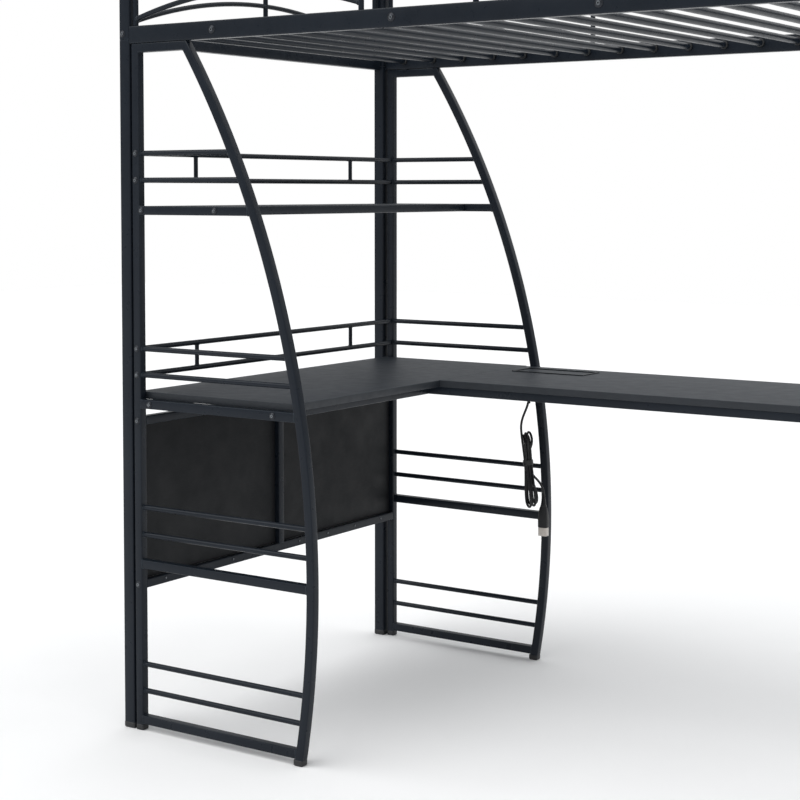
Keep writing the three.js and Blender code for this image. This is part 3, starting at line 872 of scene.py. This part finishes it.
def make_bolts():
    low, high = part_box("side_rail_front")
    rail_z = (low.z + high.z) / 2
    post_middle, apart = 0.0105, 0.003  # the two bolts of a corner pass above and below each other
    rail_bolts, frame_bolts = [], []
    for x in (0.270, 0.7375, LENGTH - 0.7375, LENGTH - 0.270):
        rail_bolts += front_and_back(x, rail_z, RAIL_BOLT)
    for x in (post_middle, LENGTH - post_middle):
        rail_bolts += front_and_back(x, rail_z + apart, POST_BOLT)
    for y in (post_middle, WIDTH - post_middle):
        rail_bolts.append(button_bolt(at(0, y, rail_z - apart), -RIGHT, *POST_BOLT))
        rail_bolts.append(button_bolt(at(LENGTH, y, rail_z - apart), RIGHT, *POST_BOLT))
    upright, panel_low, panel_high = 0.046, 0.333, 0.705
    places = [(upright, z) for z in (panel_low, panel_high, *DESK_GUARD, *SHELF_GUARD)]
    places += [(0.062, SHELF_Z), (0.274, SHELF_Z), (0.082, DESK_BAR_Z), (0.431, DESK_BAR_Z)]
    for x, z in places:
        frame_bolts += front_and_back(x, z, FRAME_BOLT)
    piece("bolts_rails", rail_bolts, BOLT)
    piece("bolts_side_frames", frame_bolts, BOLT)


# ---- Power unit ----
BOX_WALL = 0.003
WELL_FLOOR = 0.742


def make_power_box(low, high):
    """An open box under the desk, and the raised lip round its opening."""
    well_low, well_high = grown(low, high, -BOX_WALL)
    r = 0.0005
    rings = [
        rectangle(low, high, low.z, r), rectangle(low, high, low.z + r),
        rectangle(low, high, high.z - r), rectangle(low, high, high.z, r),
        rectangle(well_low, well_high, high.z, -r), rectangle(well_low, well_high, high.z - r),
        rectangle(well_low, well_high, WELL_FLOOR),
    ]
    piece("power_box_shell", [loft(rings)], PLASTIC, replaces=("power_box",))

    foot, top = high.z + 0.00005, high.z + 0.00245
    rim_low, rim_high = grown(low, high, 0.0020)
    rings = [
        rectangle(rim_low, rim_high, foot), rectangle(rim_low, rim_high, top - r),
        rectangle(rim_low, rim_high, top, r), rectangle(well_low, well_high, top, -r),
        rectangle(well_low, well_high, top - r), rectangle(well_low, well_high, foot),
    ]
    piece("power_unit_rim", [bands(rings, closed=True)], RIM)


def make_sockets(low, high):
    """Two mains sockets and two charging ports on the well's floor."""
    middle_y = (low.y + high.y) / 2
    face_r, face_tall = 0.0185, 0.0024
    face = [(0, face_r), (face_tall - 0.0006, face_r), (face_tall, face_r - 0.0007), (face_tall, 0.001)]
    slot_z, slot_deep, slot_half = 0.0022, 0.0005, 0.0009
    faces, slots = [], []
    for share in (0.24, 0.60):
        centre = Vector((low.x + (high.x - low.x) * share, middle_y, WELL_FLOOR))
        faces.append(turned(centre, UP, face, 40))
        for dx, long in ((-0.0064, 0.0075), (0.0064, 0.0065)):
            a = centre + Vector((dx - slot_half, -0.001, slot_z))
            b = centre + Vector((dx + slot_half, -0.001 + long, slot_z + slot_deep))
            slots.append(prism("z", a, b, 0.0003, 0.0001))
        earth = centre + Vector((0, -0.0085, slot_z))
        slots.append(rod(earth, earth + UP * slot_deep, 0.0025))
    port = Vector((0.0045, 0.0080, 0.0))
    mouth = Vector((0.0024, 0.0060, 0.0))
    for dy in (-0.011, 0.011):
        centre = Vector((low.x + (high.x - low.x) * 0.86, middle_y + dy, WELL_FLOOR))
        faces.append(prism("z", centre - port, centre + port + UP * slot_z, 0.0015, 0.0005))
        a = centre - mouth + UP * (slot_z - 0.0002)
        b = centre + mouth + UP * (slot_z + 0.0003)
        slots.append(prism("z", a, b, 0.0004, 0.0001))
    piece("socket_faces", faces, SHEET)
    piece("socket_slots", slots, SHEATH)


def make_lid():
    """The flap, with a barrel along its hinge side and a pivot at each end of that."""
    low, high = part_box(LID)
    pivot_long, pivot_r, barrel_in = 0.0023, 0.0010, 0.0004
    barrel_r = (high.z - low.z) / 2
    start = Vector((low.x + pivot_long, high.y - barrel_r, low.z + barrel_r))
    end = Vector((high.x - pivot_long, start.y, start.z))
    lid = [
        prism("x", *span(low, high, (start.x, end.x), (low.y, start.y)), 0.0010, 0.0006),
        rod(start + RIGHT * barrel_in, end - RIGHT * barrel_in, barrel_r, 24),
        rod(start - RIGHT * pivot_long, end + RIGHT * pivot_long, pivot_r, 16),
    ]
    piece("power_lid_flap", lid, LAMINATE, body=LID, replaces=(LID,))


def make_power_unit():
    low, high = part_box("power_box")
    make_power_box(low, high)
    make_sockets(low, high)
    make_lid()


# ---- Mains lead ----
EXIT = at(0.530, 0.925, 0.7077)
RELIEF_LONG = 0.024
HANK = at(0.528, 0.930, 0.514)
HANK_HALF = 0.098
HANK_LEAN = math.radians(6.5)
HANK_TURN = math.radians(-40)
FOLD_R = 0.018
WAIST_Z = 0.018  # the tie, above the middle of the hank
PLUG_TOP = at(0.556, 0.957, 0.4509)
TAIL_PULL = 0.040


def leaned(x, y, z):
    """A point of the hank, measured from its middle, with the hank's turn and lean."""
    cos, sin = math.cos(HANK_TURN), math.sin(HANK_TURN)
    x, y = x * cos - y * sin, x * sin + y * cos
    cos, sin = math.cos(HANK_LEAN), math.sin(HANK_LEAN)
    return HANK + Vector((x * cos - z * sin, y, x * sin + z * cos))


def fold(start_y, end_y, shift, centre_z, way):
    """Half a turn over the top (way 1) or under the bottom (way -1) of the hank."""
    points = []
    steps = 14
    for i in range(steps + 1):
        share = i / steps
        a = math.pi * (share if way > 0 else 1 - share)
        y = start_y + (end_y - start_y) * (1 - math.cos(math.pi * share)) / 2
        points.append((shift + FOLD_R * math.cos(a), y, centre_z + way * FOLD_R * math.sin(a)))
    return points


def run(start, end, waist):
    """One length of the hank between two folds, drawn in at the tie."""
    points = []
    for (ax, ay, az), (bx, by, bz) in ((start, waist), (waist, end)):
        for i in range(1, 9):
            t = (1 - math.cos(math.pi * i / 9)) / 2
            points.append((ax + (bx - ax) * t, ay + (by - ay) * t, az + (bz - az) * i / 9))
        points.append((bx, by, bz))
    return points[:-1]


def bezier(a, b, c, d, steps):
    """Points along a cubic curve from a to d."""
    points = []
    for i in range(steps + 1):
        t = i / steps
        s = 1 - t
        points.append(a * s ** 3 + b * 3 * s * s * t + c * 3 * s * t * t + d * t ** 3)
    return points


def hank_path():
    """Four times down and up through the hank, then back to the tie. Returns the points and the tie."""
    gap, layer = 0.0063, 0.0061
    end_z = HANK_HALF - 0.0035 - FOLD_R
    grid = [(-1, -1), (1, -1), (-1, 0), (1, 0), (-1, 1), (1, 1), (0, 1), (0, -1), (0, 0)]
    waists = [(x * gap, y * gap, WAIST_Z) for x, y in grid]
    swings = (0.002, -0.002, 0.001, -0.001)
    rises = (0.000, 0.005, 0.002, 0.008)
    drops = (0.007, 0.002, 0.009, 0.000)
    start = (-0.004, -1.5 * layer, HANK_HALF)
    points = [start]
    for k in range(4):
        y = (k - 1.5) * layer
        next_y = min(y + layer, 1.5 * layer)
        low = fold(y, y, swings[k], rises[k] - end_z, -1)
        high = fold(y, next_y, -swings[k], end_z - drops[k], 1)
        points += run(start, low[0], waists[2 * k]) + low
        points += run(low[-1], high[0], waists[2 * k + 1]) + high
        start = high[-1]
    tie = waists[8]
    points += run(start, tie, tuple((a + b) / 2 for a, b in zip(start, tie)))
    return [leaned(*point) for point in points], leaned(*tie)


def lead_path():
    """Down from the power unit, through the hank, and out to the plug."""
    hank, tie = hank_path()
    first = EXIT - UP * 0.006
    along = (hank[1] - hank[0]).normalized()
    path = bezier(first, first - UP * 0.035, hank[0] - along * 0.040, hank[0], 16)[:-1] + hank
    path += bezier(tie, tie - UP * TAIL_PULL, PLUG_TOP + UP * TAIL_PULL, PLUG_TOP - UP * 0.004, 18)
    return path


def ribs(start, count, pitch, radius, narrowing, depths):
    """The profile of a sleeve's ribs: each drops to a groove and rises again."""
    profile = []
    for i in range(count):
        z = start + i * pitch
        r = radius - i * narrowing
        profile.append((z, r))
        profile += [(z + dz, r - deep) for dz, deep in zip((0.0006, 0.0018, 0.0024), depths)]
    return profile


def make_cord():
    path = lead_path()
    data = bpy.data.curves.new("mains_lead", "CURVE")
    data.dimensions = "3D"
    data.bevel_depth = CORD_D / 2
    data.bevel_resolution = 6
    data.use_fill_caps = True
    spline = data.splines.new("POLY")
    spline.points.add(len(path) - 1)
    for point, place in zip(spline.points, path):
        point.co = (*place, 1)
    data.materials.append(SHEATH)
    lead = bpy.data.objects.new("mains_lead", data)
    bpy.context.scene.collection.objects.link(lead)
    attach(lead, BODY)
    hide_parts("cord_drop", "cord_hank", "cord_tail")
    return lead


def make_relief():
    profile = [(0.0, 0.0075), (0.004, 0.0075)]
    profile += ribs(0.0052, 4, 0.0045, 0.0070, 0.0007, (0.0011, 0.0013, 0.0002))
    profile.append((RELIEF_LONG, 0.0038))
    sleeve = turned(EXIT, -UP, profile)
    return piece("lead_strain_relief", [sleeve], SHEATH, replaces=("strain_relief",))


def make_tie():
    """A flat band round the hank's waist."""
    half, inner_r, outer_r, arris, sides = 0.0065, 0.0120, 0.0132, 0.0004, 40
    corners = [(inner_r, -half), (outer_r, arris - half), (outer_r, half - arris), (inner_r, half)]
    rings = []
    for i in range(sides):
        a = 2 * math.pi * i / sides
        rings.append([leaned(r * math.cos(a), r * math.sin(a), z + WAIST_Z) for r, z in corners])
    return piece("lead_tie", [bands(rings, closed=True)], PLASTIC)


def make_plug():
    """The plug with its grips and ribbed boot, its prongs, and the pale sleeve over them."""
    low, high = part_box("plug")
    x, y = (low.x + high.x) / 2, (low.y + high.y) / 2
    tip, face, body_top = low.z, 0.364, 0.418

    def ring(width, depth, radius, z):
        return ring_of(rounded(width, depth, radius), lambda u, v: Vector((x + u, y + v, z)))

    levels = [  # height, width and depth
        (face, 0.0228, 0.0168), (face + 0.0015, 0.026, 0.020), (face + 0.020, 0.026, 0.020),
        (face + 0.036, 0.0235, 0.0180), (face + 0.048, 0.0200, 0.0165), (body_top, 0.0160, 0.0150),
    ]
    boot = [(0.0, 0.0078), (0.005, 0.0078)]
    boot += ribs(0.0058, 5, 0.0050, 0.0072, 0.00062, (0.0010, 0.0012, 0.0003))
    boot.append((0.0325, 0.0037))
    shells = [
        loft([ring(width, depth, 0.0055, z) for z, width, depth in levels]),
        turned(Vector((x, y, body_top - 0.001)), UP, boot),
    ]
    grip = Vector((0.0012, 0.012, 0.0016))
    for i in range(4):
        z = face + 0.0095 + i * 0.0042
        for side in (-1, 1):
            start = Vector((x + side * 0.0128 - 0.0006, y - 0.006, z))
            shells.append(prism("y", start, start + grip, 0.0005, 0.0004))
    plug = piece("plug_body", shells, SHEATH, replaces=("plug",))

    blades = []
    blade_half = 0.0008
    for dx in (-0.0064, 0.0064):
        start = Vector((x + dx - blade_half, y - 0.006, tip))
        end = Vector((x + dx + blade_half, y + 0.0005, face + 0.001))
        blades.append(prism("z", start, end, 0.0005, 0.0007))
    pin = [(0, 0.0012), (0.0012, 0.0023), (0.022, 0.0023)]
    blades.append(turned(Vector((x, y + 0.006, tip)), UP, pin, 20))
    prongs = piece("plug_prongs", blades, PRONG)

    outer, inner = (0.0240, 0.0176, 0.004), (0.0222, 0.0158, 0.004)
    sleeve = [ring(*outer, face), ring(*outer, tip), ring(*inner, tip), ring(*inner, face)]
    guard = piece("prong_guard", [bands(sleeve, closed=True)], GUARD)
    return [plug, prongs, guard]


def make_lead():
    lead = make_cord()
    pieces = [make_relief(), make_tie(), *make_plug()]


# ---- Studio ----
def make_floor():
    side, drop = 14, 0.0005
    corners = [(-side, -side, 0), (side, -side, 0), (side, side, 0), (-side, side, 0)]
    mesh = bpy.data.meshes.new("floor")
    mesh.from_pydata(corners, [], [(0, 1, 2, 3)])
    floor = bpy.data.objects.new("floor", mesh)
    bpy.context.scene.collection.objects.link(floor)
    floor.location.z = -drop
    n = Nodes("floor_paper")
    tone = n.ramp(n.noise(2.0, 3), [(0.3, (0.90, 0.90, 0.90)), (0.7, (0.92, 0.92, 0.92))])
    rough = n.spread(n.noise(5.0, 2), 0.75, 0.85)
    mesh.materials.append(n.finish(tone, rough, n.bump(n.noise(300.0), 0.02, 0.001)))


def make_world():
    """White behind the object, and a weaker, cooler fill on it."""
    world = bpy.data.worlds.new("studio")
    bpy.context.scene.world = world
    world.use_nodes = True
    tree = world.node_tree
    backdrop = tree.nodes["Background"]
    backdrop.inputs["Color"].default_value = (1.0, 1.0, 1.0, 1)
    backdrop.inputs["Strength"].default_value = 1.0
    fill = tree.nodes.new("ShaderNodeBackground")
    fill.inputs["Color"].default_value = (0.96, 0.98, 1.0, 1)
    fill.inputs["Strength"].default_value = 0.50
    choose = tree.nodes.new("ShaderNodeMixShader")
    rays = tree.nodes.new("ShaderNodeLightPath")
    tree.links.new(rays.outputs["Is Camera Ray"], choose.inputs["Fac"])
    tree.links.new(fill.outputs["Background"], choose.inputs[1])
    tree.links.new(backdrop.outputs["Background"], choose.inputs[2])
    tree.links.new(choose.outputs["Shader"], tree.nodes["World Output"].inputs["Surface"])


def sun(name, place, strength, spread):
    """A soft light shining from the direction of place. spread is in degrees."""
    data = bpy.data.lights.new(name, "SUN")
    data.energy = strength
    data.angle = math.radians(spread)
    light = bpy.data.objects.new(name, data)
    light.location = place
    light.rotation_euler = Vector(place).to_track_quat("Z", "Y").to_euler()
    bpy.context.scene.collection.objects.link(light)


def make_studio():
    bpy.context.scene.view_settings.view_transform = "Standard"
    make_floor()
    make_world()
    sun("key", (-2.4, -4.0, 5.6), 1.75, 60)
    sun("back", (1.6, 3.4, 6.0), 1.05, 90)
    sun("side", (5.0, -2.2, 3.4), 0.35, 60)


make_lead()
make_posts()
make_rails()
make_slats()
make_side_frame("side_frame_front")
make_side_frame("side_frame_back")
make_cross_tubes()
make_bar_guards()
make_modesty()
make_boards()
make_desk_frame()
make_desk_end_leg()
make_ladder()
make_guards()
make_bolts()
make_power_unit()
make_studio()
